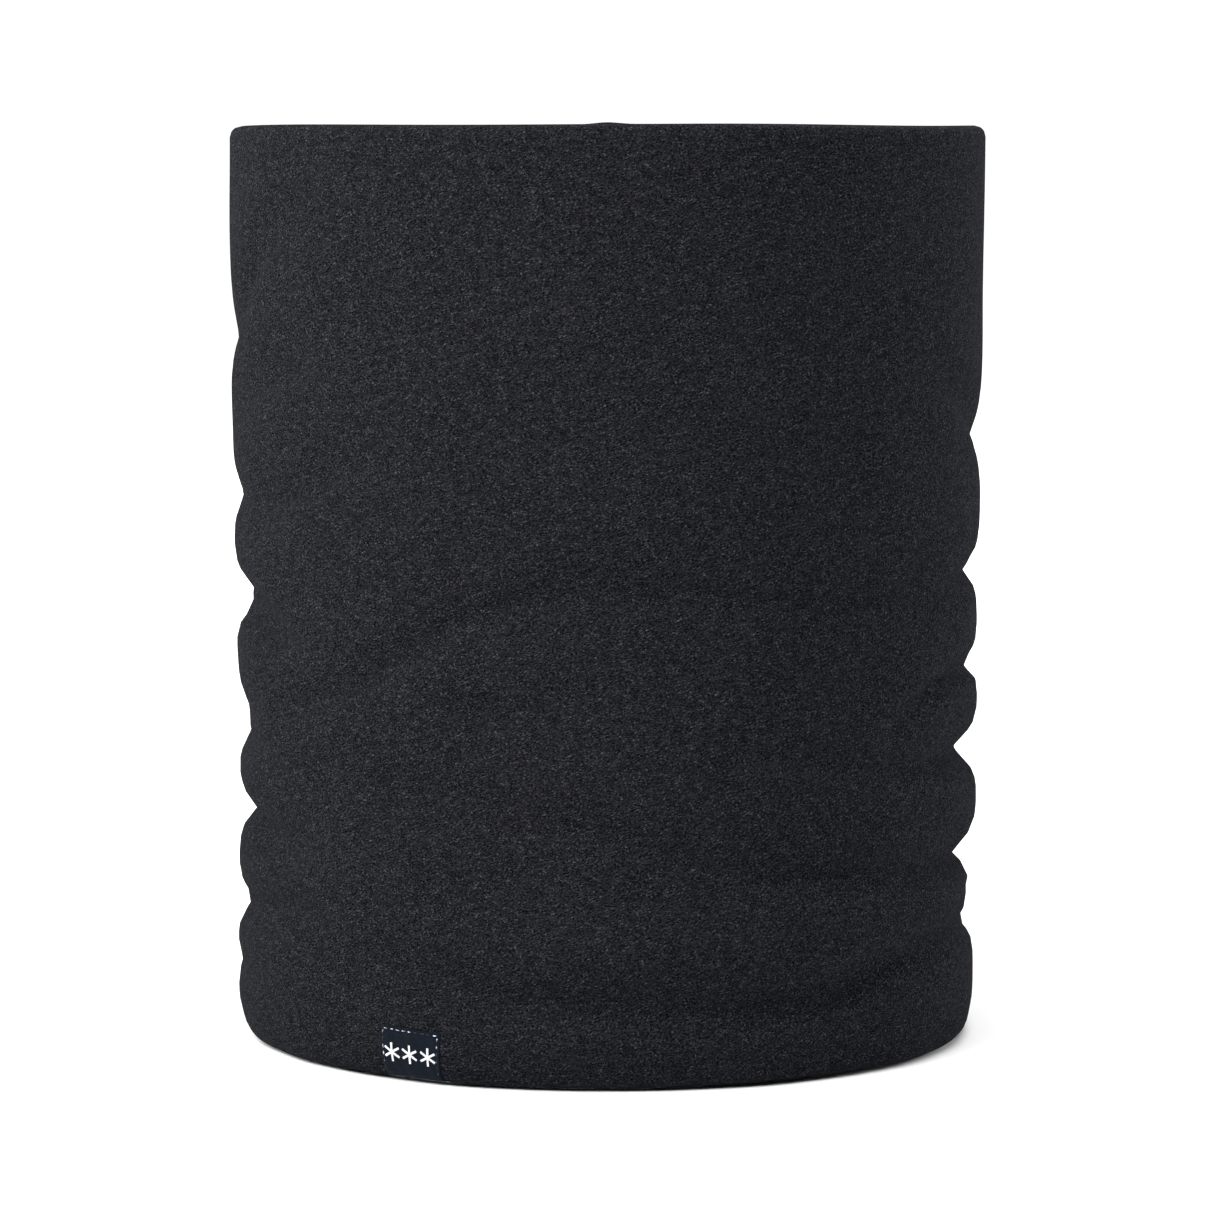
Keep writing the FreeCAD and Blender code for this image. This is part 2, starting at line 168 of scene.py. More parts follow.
BACK_FOLDS = (
    Fold(((96, 84, 0.0), (118, 86, 1.8), (140, 90, 2.6), (162, 92, 2.0), (182, 89, 1.5),
          (204, 82, 2.4), (226, 78, 2.8), (246, 76, 0.0)), 7.5, 5.2),
    Fold(((108, 52, 0.0), (128, 50, 2.2), (146, 56, 2.6), (164, 62, 1.4), (190, 60, 1.8),
          (212, 51, 3.0), (232, 48, 2.0), (252, 46, 0.0)), 7.0, 5.0),
    Fold(((118, 22, 0.0), (140, 19.5, 2.4), (164, 18.5, 2.8), (186, 18, 2.6), (210, 18.5, 3.0),
          (232, 20, 2.6), (256, 22, 0.0)), 7.0, 4.2),
    Fold(((128, 118, 0.0), (148, 116, 1.2), (170, 113, 1.5), (194, 115, 1.3), (216, 119, 1.4),
          (240, 116, 0.0)), 8.0, 6.0),
    Fold(((134, 70, 0.0), (150, 73, 1.4), (166, 74, 0.9), (178, 73, 0.0)), 5.0, 4.2),
    Fold(((188, 66, 0.0), (206, 67, 1.5), (222, 65, 2.0), (240, 61, 1.0), (254, 58, 0.0)),
         5.2, 4.2),
    Fold(((120, 34, 0.0), (136, 36, 1.4), (156, 36, 0.6), (180, 36, 0.8), (198, 35, 1.6),
          (218, 33, 0.0)),
         5.2, 4.4),
)
DENTS = (
    Dent(-30, 132, 26, 16, -0.5, 0.2),
    Dent(0, 28, 36, 6.5, -1.4, 0.0),
    Dent(32, 29, 24, 5, -1.0, 0.0),
    Dent(6, 150, 30, 24, 0.5, 0.0),
    Dent(36, 127, 4, 6, 0.8, 0.0),
    Dent(44, 129, 3, 12, -0.5, 0.0),
    Dent(-52, 66, 14, 6, -0.6, 0.0),
    Dent(58, 176, 16, 12, 0.7, 0.0),
    Dent(150, 140, 30, 24, 0.8, 0.1),
    Dent(214, 138, 24, 22, -0.7, -0.1),
    Dent(176, 26, 34, 7, -1.0, 0.0),
)


@dataclass(frozen=True)
class Wall:
    """Sizes of the standing wall, mm; azimuths, label_half, peak_half and gather_half, degrees.

    Attributes:
        half: from the wall's middle to either face.
        edge: radius of the turned edges.
        lower_ease: how much slimmer the part below ease_height stands.
        hem_tuck: how far the hem turns in, over hem_reach.
        top_hold: depth below the top edge over which the folds fade out.
        ripple: share of the cloth's unevenness that shows.
        press_in: how far the label presses the pile in; press_up, the hem up.
        seam_dip: depth of the seam's groove, seam_half wide to each side.
        seam_swell: how far the margins beside it stand out.
        seam_peak: how far the seam lifts the top edge.
        gather: share by which the mesh's columns are drawn to the seam.
    """

    height: float
    outside: float = 79.9
    cloth_width: float = 503.0
    layer: float = 1.8
    half: float = 2.7
    edge: float = 2.4
    lower_ease: float = 1.0
    ease_height: float = 118.0
    ease_softness: float = 14.0
    hem_tuck: float = 1.6
    hem_reach: float = 5.0
    top_hold: float = 16.0
    ripple: float = 0.8
    label_azimuth: float = -30.5
    label_half: float = 5.1
    label_top: float = 10.8
    press_in: float = 0.28
    press_up: float = 0.55
    seam_azimuth: float = 180.0
    seam_dip: float = 0.95
    seam_half: float = 1.25
    seam_swell: float = 0.35
    seam_swell_half: float = 6.0
    seam_peak: float = 0.45
    peak_half: float = 3.0
    gather: float = 0.6
    gather_half: float = 9.0


class Drape:
    """Where the wall's middle surface lies at any azimuth and height.

    Azimuths are degrees from the front, growing towards +X; heights are millimetres.
    """

    STEPS = 1440
    SMOOTH = 8
    LABEL_EDGE = 0.28
    LABEL_END = 0.35
    WAVES = ((0.28, 5, 9.0, 0.4), (0.20, 9, -17.0, 1.9), (0.14, 14, 31.0, 4.1),
             (0.10, 23, -43.0, 2.2))

    def __init__(self, wall: Wall, folds: Iterable[Fold], dents: Iterable[Dent]) -> None:
        """Prepare each fold's line round the tube.

        Args:
            wall: sizes of the standing wall.
            folds: the valleys.
            dents: the soft hollows and swellings.
        """
        self.wall = wall
        self.dents = tuple(dents)
        self.grid = np.linspace(-180.0, 180.0, self.STEPS, endpoint=False)
        self.lines = [(*self._line(fold), fold) for fold in folds]

    def _line(self, fold: Fold) -> tuple[np.ndarray, np.ndarray]:
        """A fold's height and depth at every step round the tube.

        Args:
            fold: the valley.

        Returns:
            Heights and depths on the grid, smoothed along the fold.
        """
        knots = np.array(fold.path, float)
        middle = knots[:, 0].mean()
        turn = turn_from(self.grid, middle) + middle
        height = np.interp(turn, knots[:, 0], knots[:, 1])
        depth = np.interp(turn, knots[:, 0], knots[:, 2], left=0.0, right=0.0)
        return self._smooth(height), self._smooth(depth)

    def _smooth(self, values: np.ndarray) -> np.ndarray:
        """Values round the tube, averaged over a few degrees."""
        reach = 3 * self.SMOOTH
        kernel = np.exp(-0.5 * (np.arange(-reach, reach + 1) / self.SMOOTH) ** 2)
        kernel /= kernel.sum()
        padded = np.concatenate((values[-reach:], values, values[:reach]))
        return np.convolve(padded, kernel, "valid")

    def _at(self, values: np.ndarray, azimuth: np.ndarray) -> np.ndarray:
        """Grid values read at any azimuth."""
        place = (azimuth + 180.0) % 360.0 / 360.0 * self.STEPS
        low = np.floor(place).astype(int)
        share = place - low
        return values[low % self.STEPS] * (1 - share) + values[(low + 1) % self.STEPS] * share

    def _folds(self, azimuth: np.ndarray, height: np.ndarray) -> np.ndarray:
        """How far all folds draw the wall in."""
        inward = np.zeros_like(height)
        for line, depth, fold in self.lines:
            rise = height - self._at(line, azimuth)
            reach = np.where(rise > 0, fold.above, fold.below)
            inward += self._at(depth, azimuth) / np.cosh(1.5 * rise / reach) ** 2
        return inward

    def _dents(self, azimuth: np.ndarray, height: np.ndarray) -> np.ndarray:
        """How far the soft hollows draw the wall in."""
        inward = np.zeros_like(height)
        for dent in self.dents:
            turn = turn_from(azimuth, dent.azimuth)
            rise = height - dent.height - dent.slant * turn
            inward += dent.depth * np.exp(-((turn / dent.reach) ** 2) - (rise / dent.rise) ** 2)
        return inward

    def _ripple(self, azimuth: np.ndarray, height: np.ndarray) -> np.ndarray:
        """The slight unevenness of cloth that nothing holds."""
        a = np.radians(azimuth)
        z = height / self.wall.height
        wave = sum(size * np.sin(round_ * a + up * z + shift)
                   for size, round_, up, shift in self.WAVES)
        return wave * np.clip(1.25 - z, 0.35, 1.0)

    def seam(self, azimuth: np.ndarray) -> np.ndarray:
        """How far the back seam draws the outer layer in; its margins swell it beside the seam."""
        wall = self.wall
        along = np.radians(turn_from(azimuth, wall.seam_azimuth)) * wall.outside
        return (wall.seam_dip * bell(along, wall.seam_half)
                - wall.seam_swell * bell(along, wall.seam_swell_half, 4))

    def gathered(self, azimuth: np.ndarray) -> np.ndarray:
        """Azimuths drawn together beside the back seam, where the cloth bends most."""
        wall = self.wall
        turn = azimuth - np.copysign(wall.seam_azimuth, azimuth)
        return azimuth - wall.gather * turn * bell(turn, wall.gather_half)

    def label_press(self, azimuth: np.ndarray, height: np.ndarray) -> np.ndarray:
        """How fully the pile is pressed down by the hem label, from 0 to 1."""
        wall = self.wall
        turn = np.abs(turn_from(azimuth, wall.label_azimuth))
        return (step_down(turn - wall.label_half, self.LABEL_EDGE)
                * step_down(height - wall.label_top, self.LABEL_END))

    def middle(self, azimuth: np.ndarray, height: np.ndarray) -> np.ndarray:
        """Radius of the wall's middle surface, mm."""
        wall = self.wall
        ease = (wall.lower_ease * step_down(height - wall.ease_height, wall.ease_softness)
                + wall.hem_tuck * bell(height, wall.hem_reach))
        hold = np.clip((wall.height - height) / wall.top_hold, 0.0, 1.0)
        inward = hold * (self._folds(azimuth, height) + self._dents(azimuth, height))
        uneven = wall.ripple * self._ripple(azimuth, height)
        return wall.outside - wall.half - ease - inward - uneven

    def top_rise(self, azimuth: np.ndarray) -> np.ndarray:
        """How far the top edge stands above or below its mean height, mm."""
        a = np.radians(azimuth)
        turn = turn_from(azimuth, self.wall.seam_azimuth)
        peak = self.wall.seam_peak * bell(turn, self.wall.peak_half)
        return -0.25 + 0.22 * np.sin(2 * a + 2.0) + 0.12 * np.sin(5 * a + 0.3) + peak

    def point(self, azimuth: np.ndarray, height: np.ndarray, offset: np.ndarray) -> np.ndarray:
        """Points beside the wall's middle surface.

        Args:
            azimuth: degrees from the front.
            height: mm above the hem.
            offset: mm outwards from the middle surface.

        Returns:
            An array of points in metres, one row each.
        """
        radius = self.middle(azimuth, height) + offset
        lift = self.top_rise(azimuth) * np.clip(height / self.wall.height, 0.0, 1.0) ** 3
        a = np.radians(azimuth)
        return np.stack((radius * np.sin(a), -radius * np.cos(a), height + lift), -1) * MM


# ---------------------------------------------------------------- modelling by hand


class Bench:
    """The operators that every piece is made with."""

    @staticmethod
    def clear() -> None:
        """Leave edit mode and deselect everything."""
        if bpy.context.mode != "OBJECT":
            bpy.ops.object.mode_set(mode="OBJECT")
        bpy.ops.object.select_all(action="DESELECT")

    @staticmethod
    def pick(piece: bpy.types.Object) -> None:
        """Make one piece the selected and active one."""
        Bench.clear()
        piece.select_set(True)
        bpy.context.view_layer.objects.active = piece

    @staticmethod
    def named(name: str) -> bpy.types.Object:
        """The object just added, with its name and its mesh's name."""
        piece = bpy.context.object
        piece.name = name
        piece.data.name = name
        return piece

    @staticmethod
    def settle(piece: bpy.types.Object) -> bpy.types.Object:
        """Apply a piece's place, so that its object sits at the origin."""
        Bench.pick(piece)
        bpy.ops.object.transform_apply(location=True, rotation=True, scale=True)
        return piece

    @staticmethod
    def edit(piece: bpy.types.Object, pick: Callable[[Vector, Vector], bool]) -> None:
        """Enter edit mode with the edges chosen by their two ends.

        Args:
            piece: the mesh object.
            pick: says of an edge's two ends whether it is taken.
        """
        Bench.pick(piece)
        bpy.ops.object.mode_set(mode="EDIT")
        bpy.ops.mesh.select_mode(type="EDGE")
        bpy.ops.mesh.select_all(action="DESELECT")
        bpy.ops.object.mode_set(mode="OBJECT")
        places = [v.co for v in piece.data.vertices]
        for edge in piece.data.edges:
            edge.select = pick(places[edge.vertices[0]], places[edge.vertices[1]])
        bpy.ops.object.mode_set(mode="EDIT")

    @staticmethod
    def finish_edit(piece: bpy.types.Object, recalculate: bool = False) -> bpy.types.Object:
        """Leave edit mode, with normals pointing outwards if asked."""
        if recalculate:
            bpy.ops.mesh.select_all(action="SELECT")
            bpy.ops.mesh.normals_make_consistent(inside=False)
        bpy.ops.object.mode_set(mode="OBJECT")
        return piece

    @staticmethod
    def tube(name: str, columns: int, rows: int, radius: float, low: float,
             high: float, ends: str = "NOTHING") -> bpy.types.Object:
        """An upright tube with even rows.

        Args:
            name: the piece's name.
            columns: faces round the tube.
            rows: faces up the tube.
            radius: metres.
            low: lower end, metres.
            high: upper end, metres.
            ends: how the ends are filled.

        Returns:
            The mesh object.
        """
        Bench.clear()
        bpy.ops.mesh.primitive_cylinder_add(vertices=columns, radius=radius, depth=high - low,
                                            end_fill_type=ends,
                                            location=(0.0, 0.0, (low + high) / 2))
        piece = Bench.settle(Bench.named(name))
        Bench.edit(piece, lambda a, b: abs(a.z - b.z) > (high - low) / 2)
        if rows > 1:
            bpy.ops.mesh.subdivide(number_cuts=rows - 1)
        return Bench.finish_edit(piece)

    @staticmethod
    def patch(name: str, columns: int, rows: int) -> bpy.types.Object:
        """A flat unit patch in the XY plane, divided into columns and rows."""
        Bench.clear()
        bpy.ops.mesh.primitive_plane_add(size=1.0, location=(0.5, 0.5, 0.0))
        piece = Bench.settle(Bench.named(name))
        for cuts, across in ((columns, 0), (rows, 1)):
            if cuts > 1:
                Bench.edit(piece, lambda a, b: abs((a - b)[across]) > 0.5)
                bpy.ops.mesh.subdivide(number_cuts=cuts - 1)
                Bench.finish_edit(piece)
        return piece

    @staticmethod
    def places(piece: bpy.types.Object) -> np.ndarray:
        """All vertex places of a mesh."""
        places = np.empty(len(piece.data.vertices) * 3)
        piece.data.vertices.foreach_get("co", places)
        return places.reshape(-1, 3)

    @staticmethod
    def move(piece: bpy.types.Object, places: np.ndarray) -> None:
        """Put every vertex at a new place."""
        piece.data.vertices.foreach_set("co", places.ravel())
        piece.data.update()

    @staticmethod
    def lay_cloth_map(piece: bpy.types.Object, across: np.ndarray, along: np.ndarray,
                      loop: float = 0.0) -> None:
        """Give a mesh a UV map in metres of cloth.

        Args:
            piece: the mesh object.
            across: each vertex's distance round the piece, metres.
            along: each vertex's distance up the piece, metres.
            loop: length after which the distance starts again, or 0 for a piece with two ends.
        """
        mesh = piece.data
        corners = np.empty(len(mesh.loops), int)
        mesh.loops.foreach_get("vertex_index", corners)
        starts = np.empty(len(mesh.polygons), int)
        mesh.polygons.foreach_get("loop_start", starts)
        u, v = across[corners].copy(), along[corners]
        if loop:
            first = np.repeat(u[starts], np.diff(np.append(starts, len(corners))))
            u += np.where(u - first > loop / 2, -loop, 0.0)
            u += np.where(first - u > loop / 2, loop, 0.0)
        layer = mesh.uv_layers.get("cloth") or mesh.uv_layers.new(name="cloth")
        layer.data.foreach_set("uv", np.stack((u, v), -1).ravel())
        mesh.uv_layers.active = layer

    @staticmethod
    def thicken(piece: bpy.types.Object, thickness: float, offset: float = -1.0) -> None:
        """Give a sheet its thickness and apply it."""
        Bench.pick(piece)
        solid = piece.modifiers.new("thickness", "SOLIDIFY")
        solid.thickness = thickness
        solid.offset = offset
        solid.use_even_offset = False
        bpy.ops.object.modifier_apply(modifier=solid.name)

    @staticmethod
    def smooth(piece: bpy.types.Object, angle: float = 0.0) -> None:
        """Shade a piece smoothly, all over or up to an angle in degrees."""
        Bench.pick(piece)
        if angle:
            bpy.ops.object.shade_smooth_by_angle(angle=math.radians(angle))
        else:
            bpy.ops.object.shade_smooth()

    @staticmethod
    def close(piece: bpy.types.Object, angle: float = 0.0) -> bpy.types.Object:
        """Turn every face of a closed piece outwards, and shade it if an angle is given."""
        Bench.edit(piece, lambda a, b: False)
        Bench.finish_edit(piece, True)
        if angle:
            Bench.smooth(piece, angle)
        return piece

    @staticmethod
    def join(name: str, pieces: list[bpy.types.Object]) -> bpy.types.Object:
        """Join meshes into one piece."""
        Bench.clear()
        for piece in pieces:
            piece.select_set(True)
        bpy.context.view_layer.objects.active = pieces[0]
        if len(pieces) > 1:
            bpy.ops.object.join()
        return Bench.named(name)


# ---------------------------------------------------------------- shader maths


class Value:
    """A shader socket that takes part in Python arithmetic."""

    def __init__(self, graph: "Graph", socket: bpy.types.NodeSocket) -> None:
        """Wrap a socket of a graph."""
        self.graph = graph
        self.socket = socket

    def _math(self, operation: str, *values: "Value | float", clamp: bool = False) -> "Value":
        """A Math node on these values."""
        return self.graph.node("ShaderNodeMath", {"operation": operation, "use_clamp": clamp},
                               dict(enumerate(values)))

    def __add__(self, other: "Value | float") -> "Value":
        """self + other."""
        return self._math("ADD", self, other)

    def __sub__(self, other: "Value | float") -> "Value":
        """self - other."""
        return self._math("SUBTRACT", self, other)

    def __rsub__(self, other: float) -> "Value":
        """other - self."""
        return self._math("SUBTRACT", other, self)

    def __mul__(self, other: "Value | float") -> "Value":
        """self * other."""
        return self._math("MULTIPLY", self, other)

    def clip(self) -> "Value":
        """self, held between 0 and 1."""
        return self._math("ADD", self, 0.0, clamp=True)

    def over(self, low: float, high: float) -> "Value":
        """0 below low, 1 above high, smooth between."""
        return self.graph.node("ShaderNodeMapRange", {"interpolation_type": "SMOOTHSTEP"},
                               {"Value": self, "From Min": low, "From Max": high})


class Graph:
    """A material's node tree, built from Python expressions."""

    def __init__(self, name: str) -> None:
        """Start an empty node tree with a Principled surface.

        Args:
            name: the material's name.
        """
        self.material = bpy.data.materials.new(name)
        self.material.use_nodes = True
        self.tree = self.material.node_tree
        self.tree.nodes.clear()
        self.surface = self.tree.nodes.new("ShaderNodeBsdfPrincipled")
        output = self.tree.nodes.new("ShaderNodeOutputMaterial")
        self.tree.links.new(self.surface.outputs[0], output.inputs["Surface"])

    def node(self, kind: str, settings: dict | None = None, inputs: dict | None = None,
             output: int | str = 0) -> Value:
        """Add a node.

        Args:
            kind: the node's type.
            settings: its properties, set first.
            inputs: values or links by socket name or place.
            output: which output is wanted.

        Returns:
            The wanted output.
        """
        made = self.tree.nodes.new(kind)
        for key, setting in (settings or {}).items():
            setattr(made, key, setting)
        for key, value in (inputs or {}).items():
            self._feed(made.inputs[key], value)
        return Value(self, made.outputs[output])

    def _feed(self, socket: bpy.types.NodeSocket, value: "Value | float | tuple") -> None:
        """Link a value to a socket, or set it there."""
        if isinstance(value, Value):
            self.tree.links.new(value.socket, socket)
        else:
            socket.default_value = value

    def colour(self, share: Value, low: tuple, high: tuple) -> Value:
        """A colour between two, by a share from 0 to 1."""
        made = self.tree.nodes.new("ShaderNodeMix")
        made.data_type = "RGBA"
        self._feed(made.inputs[0], share)
        self._feed(made.inputs[6], low)
        self._feed(made.inputs[7], high)
        return Value(self, made.outputs[2])

    def set(self, **sockets: "Value | float | tuple") -> "Graph":
        """Set the surface's sockets by name, with underscores for spaces."""
        for key, value in sockets.items():
            self._feed(self.surface.inputs[key.replace("_", " ")], value)
        return self

    def cloth(self, stretch: tuple[float, float] = (1.0, 1.0), turn: float = 0.0) -> Value:
        """The cloth's own coordinates in metres, stretched by two factors along a turned axis."""
        place = self.node("ShaderNodeUVMap", {"uv_map": "cloth"})
        if turn:
            place = self.node("ShaderNodeMapping", {},
                              {"Vector": place, "Rotation": (0.0, 0.0, math.radians(-turn))})
        return self.node("ShaderNodeMapping", {}, {"Vector": place, "Scale": (*stretch, 1.0)})

    def noise(self, place: Value, scale: float, detail: float = 2.0, roughness: float = 0.5,
              distortion: float = 0.0) -> Value:
        """Flat noise on the cloth."""
        return self.node("ShaderNodeTexNoise", {"noise_dimensions": "2D"},
                         {"Vector": place, "Scale": scale, "Detail": detail,
                          "Roughness": roughness, "Distortion": distortion})

    def bump(self, height: Value, distance: float, strength: float = 1.0) -> Value:
        """A normal from a height."""
        return self.node("ShaderNodeBump", {}, {"Height": height, "Distance": distance,
                                                "Strength": strength})


Colour = tuple[float, float, float, float]


@dataclass(frozen=True)
class Fleece:
    """Double-brushed micro-fleece: curled pile of random mottle, with painted shade in its gaps
    and painted glints on its tips.

    Attributes:
        name: the material's name.
        gap: colour deep between the curls, painted dark as shade in the hollows.
        pile: colour of the curls.
        tip: colour of the fibre ends that catch the light.
        width: length of the cloth between its two ends in the back seam, metres.
        seam_shade_reach: how far from the seam the pile is painted dark, as painted shade in the
            seam's groove, metres.
        curls: curls per metre.
        relief: height of the curls, metres.
    """

    name: str
    gap: Colour = (0.0030, 0.0032, 0.0043, 1.0)
    pile: Colour = (0.0215, 0.0221, 0.0256, 1.0)
    tip: Colour = (0.060, 0.061, 0.067, 1.0)
    width: float = 0.503
    seam_shade_reach: float = 0.0013
    curls: float = 740.0
    relief: float = 0.00026

    def material(self) -> bpy.types.Material:
        """The fleece's material."""
        graph = Graph(self.name)
        place = graph.cloth((0.62, 1.25), 13.0)
        curls = graph.noise(place, self.curls, 2.0, 0.6, 0.6)
        nubs = graph.noise(graph.cloth((0.75, 1.1), 24.0), self.curls * 0.45, 1.0, 0.5, 0.4)
        fibres = graph.noise(graph.cloth((0.70, 1.25), 20.0), self.curls * 4.0, 2.0, 0.62, 0.7)
        patches = graph.noise(graph.cloth(), 52.0, 3.0, 0.55)
        height = curls * 0.55 + nubs * 0.15 + fibres * 0.30
        raised = height.over(0.36, 0.66)
        # Painted shade: the colour darkens within a few millimetres of both ends of the cloth, as
        # shade along the back seam's groove, and no glints are painted there.
        across = graph.node("ShaderNodeSeparateXYZ", {}, {"Vector": graph.cloth()}, "X")
        clear_of_seam_shade = (across.over(0.0, self.seam_shade_reach)
                     * (self.width - across).over(0.0, self.seam_shade_reach))
        # The colour mottles at random with the cloth's grain and patches, and where the curls lie
        # low it falls to the gap colour, which is painted shade between the curls.
        lit = (fibres.over(0.33, 0.67) * 0.82 + raised * 0.34 + patches * 0.14
               + clear_of_seam_shade * 0.55 - 0.75).clip()
        base = graph.colour(lit, self.gap, self.pile)
        # Painted glints: sparse fibre ends take the pale tip colour as highlights.
        tip_glints = (fibres * 0.80 + curls * 0.22).over(0.61, 0.71) * clear_of_seam_shade
        base = graph.colour(tip_glints, base, self.tip)
        graph.set(Base_Color=base, Roughness=0.95, Specular_IOR_Level=0.0, Sheen_Weight=0.016,
                  Sheen_Roughness=0.28, Sheen_Tint=(0.86, 0.87, 0.92, 1.0),
                  Normal=graph.bump(height, self.relief, 1.0))
        return graph.material


@dataclass(frozen=True)
class WovenTape:
    """Satin-woven label tape with fine ribs across it.

    Attributes:
        name: the material's name.
        base: colour between the ribs.
        high: colour of the ribs.
        rib: fineness of the weave, per metre.
        shine: specular level.
    """

    name: str
    base: Colour
    high: Colour
    rib: float = 3600.0
    shine: float = 0.03

    def material(self) -> bpy.types.Material:
        """The tape's material."""
        graph = Graph(self.name)
        place = graph.cloth()
        ribs = graph.node("ShaderNodeTexWave", {"wave_type": "BANDS", "bands_direction": "Y"},
                          {"Vector": place, "Scale": self.rib / 3.5, "Distortion": 1.2,
                           "Detail": 1.0, "Detail Scale": 2.0})
        grain = graph.noise(graph.cloth((1.0, 3.0)), self.rib, 2.0, 0.6)
        weave = ribs * 0.55 + grain * 0.45
        graph.set(Base_Color=graph.colour(weave, self.base, self.high), Roughness=0.55,
                  Specular_IOR_Level=self.shine, Normal=graph.bump(weave, 0.00006, 0.7))
        return graph.material


@dataclass(frozen=True)
class Thread:
    """Twisted polyester sewing thread.

    Attributes:
        name: the material's name.
        base: colour in the shade of the twist.
        high: colour of the lit strands.
        twist: strands per metre; a low value lights some stitches and not others.
        spread: where on the twist the colour changes.
        shine: specular level.
    """

    name: str
    base: Colour
    high: Colour
    twist: float = 5200.0
    spread: tuple[float, float] = (0.35, 0.65)
    shine: float = 0.5

    def material(self) -> bpy.types.Material:
        """The thread's material."""
        graph = Graph(self.name)
        place = graph.node("ShaderNodeTexCoord", {}, {}, "Object")
        twist = graph.node("ShaderNodeTexNoise", {"noise_dimensions": "3D"},
                           {"Vector": place, "Scale": self.twist, "Detail": 2.0, "Roughness": 0.6})
        graph.set(Base_Color=graph.colour(twist.over(*self.spread), self.base, self.high),
                  Roughness=0.38, Specular_IOR_Level=self.shine,
                  Normal=graph.bump(twist, 0.00004, 0.6))
        return graph.material


@dataclass(frozen=True)
class Finishes:
    """Every finish of the gaiter."""

    outer: bpy.types.Material
    lining: bpy.types.Material
    tape: bpy.types.Material
    figure: bpy.types.Material
    care: bpy.types.Material
    dark_thread: bpy.types.Material
    label_thread: bpy.types.Material

    @staticmethod
    def make() -> "Finishes":
        """Make each finish once."""
        return Finishes(
            outer=Fleece("outer_fleece").material(),
            lining=Fleece("lining_fleece", relief=0.00018).material(),
            tape=WovenTape("label_tape", base=(0.0036, 0.0052, 0.0088, 1.0),
                           high=(0.0085, 0.0118, 0.0185, 1.0)).material(),
            figure=WovenTape("label_figure", base=(0.55, 0.56, 0.60, 1.0),
                             high=(0.86, 0.87, 0.90, 1.0)).material(),
            care=WovenTape("care_satin", base=(0.60, 0.60, 0.585, 1.0),
                           high=(0.80, 0.80, 0.785, 1.0), rib=2400.0, shine=0.35).material(),
            dark_thread=Thread("dark_thread", base=(0.012, 0.012, 0.015, 1.0),
                               high=(0.035, 0.035, 0.04, 1.0)).material(),
            label_thread=Thread("label_thread", base=(0.018, 0.02, 0.027, 1.0),
                                high=(0.62, 0.65, 0.74, 1.0), twist=620.0,
                                spread=(0.50, 0.62), shine=0.1).material(),
        )


def dress(piece: bpy.types.Object, finish: bpy.types.Material) -> bpy.types.Object:
    """Give a piece one finish."""
    piece.data.materials.clear()
    piece.data.materials.append(finish)
    return piece


# ---------------------------------------------------------------- the two layers


class Side(Enum):
    """Which face of the wall a layer shows."""

    OUTSIDE = 1
    INSIDE = -1


@dataclass
class Layer:
    """One fleece layer, from its turned hem to its turned top edge."""

    name: str
    side: Side
    drape: Drape
    finish: bpy.types.Material
    columns: int = 352
    rows: int = 138
    turn_rows: int = 7
    tuck_up: float = 0.25
    tuck_out: float = 0.02

    def build(self) -> bpy.types.Object:
        """The layer as a closed thin piece, mapped and dressed."""
        wall = self.drape.wall
        piece = Bench.tube(self.name, self.columns, self.rows, wall.outside * MM, 0.0,
                           wall.height * MM)
        places = Bench.places(piece)
        azimuth = self.drape.gathered(azimuth_of(places))
        row = np.rint(places[:, 2] / (wall.height * MM) * self.rows)
        height, offset, along = self._section(row)
        press = self.drape.label_press(azimuth, height)
        seam = self.drape.seam(azimuth) * np.clip(offset / wall.half, 0.0, 1.0)
        offset = offset - seam - wall.press_in * press
        height = height + wall.press_up * press * bell(height, wall.edge)
        Bench.move(piece, self.drape.point(azimuth, height, offset * self.side.value))
        width = wall.cloth_width * MM
        Bench.lay_cloth_map(piece, (azimuth + 180.0) / 360.0 * width, along * MM, width)
        if self.side is Side.INSIDE:
            self._face_in(piece)
        Bench.thicken(piece, wall.layer * MM)
        Bench.smooth(piece)
        return dress(piece, self.finish)

    def _section(self, row: np.ndarray) -> tuple[np.ndarray, np.ndarray, np.ndarray]:
        """The layer's section, from the middle of the hem to the middle of the top edge.

        Args:
            row: each vertex's row.

        Returns:
            Height, distance from the wall's middle, and length along the cloth, mm.
        """
        wall = self.drape.wall
        inner = wall.half - wall.edge
        turn = np.linspace(0.0, math.pi / 2, self.turn_rows)
        level, out = wall.edge * (1 - np.sin(turn)), inner + wall.edge * np.cos(turn)
        straight_rows = self.rows + 1 - 2 * self.turn_rows - 2
        straight = np.linspace(wall.edge, wall.height - wall.edge, straight_rows + 2)[1:-1]
        profile = np.concatenate((
            [[self.tuck_up, self.tuck_out]],
            np.stack((level, out), -1)[::-1],
            np.stack((straight, np.full_like(straight, wall.half)), -1),
            np.stack((wall.height - level, out), -1),
            [[wall.height - self.tuck_up, self.tuck_out]]))
        steps = np.hypot(*np.diff(profile, axis=0).T)
        along = np.concatenate(([0.0], np.cumsum(steps)))
        index = row.astype(int)
        return profile[index, 0], profile[index, 1], along[index]

    @staticmethod
    def _face_in(piece: bpy.types.Object) -> None:
        """Turn the faces of the lining towards the neck."""
        Bench.edit(piece, lambda a, b: False)
        bpy.ops.mesh.select_mode(type="FACE")
        bpy.ops.mesh.select_all(action="SELECT")
        bpy.ops.mesh.flip_normals()
        Bench.finish_edit(piece)


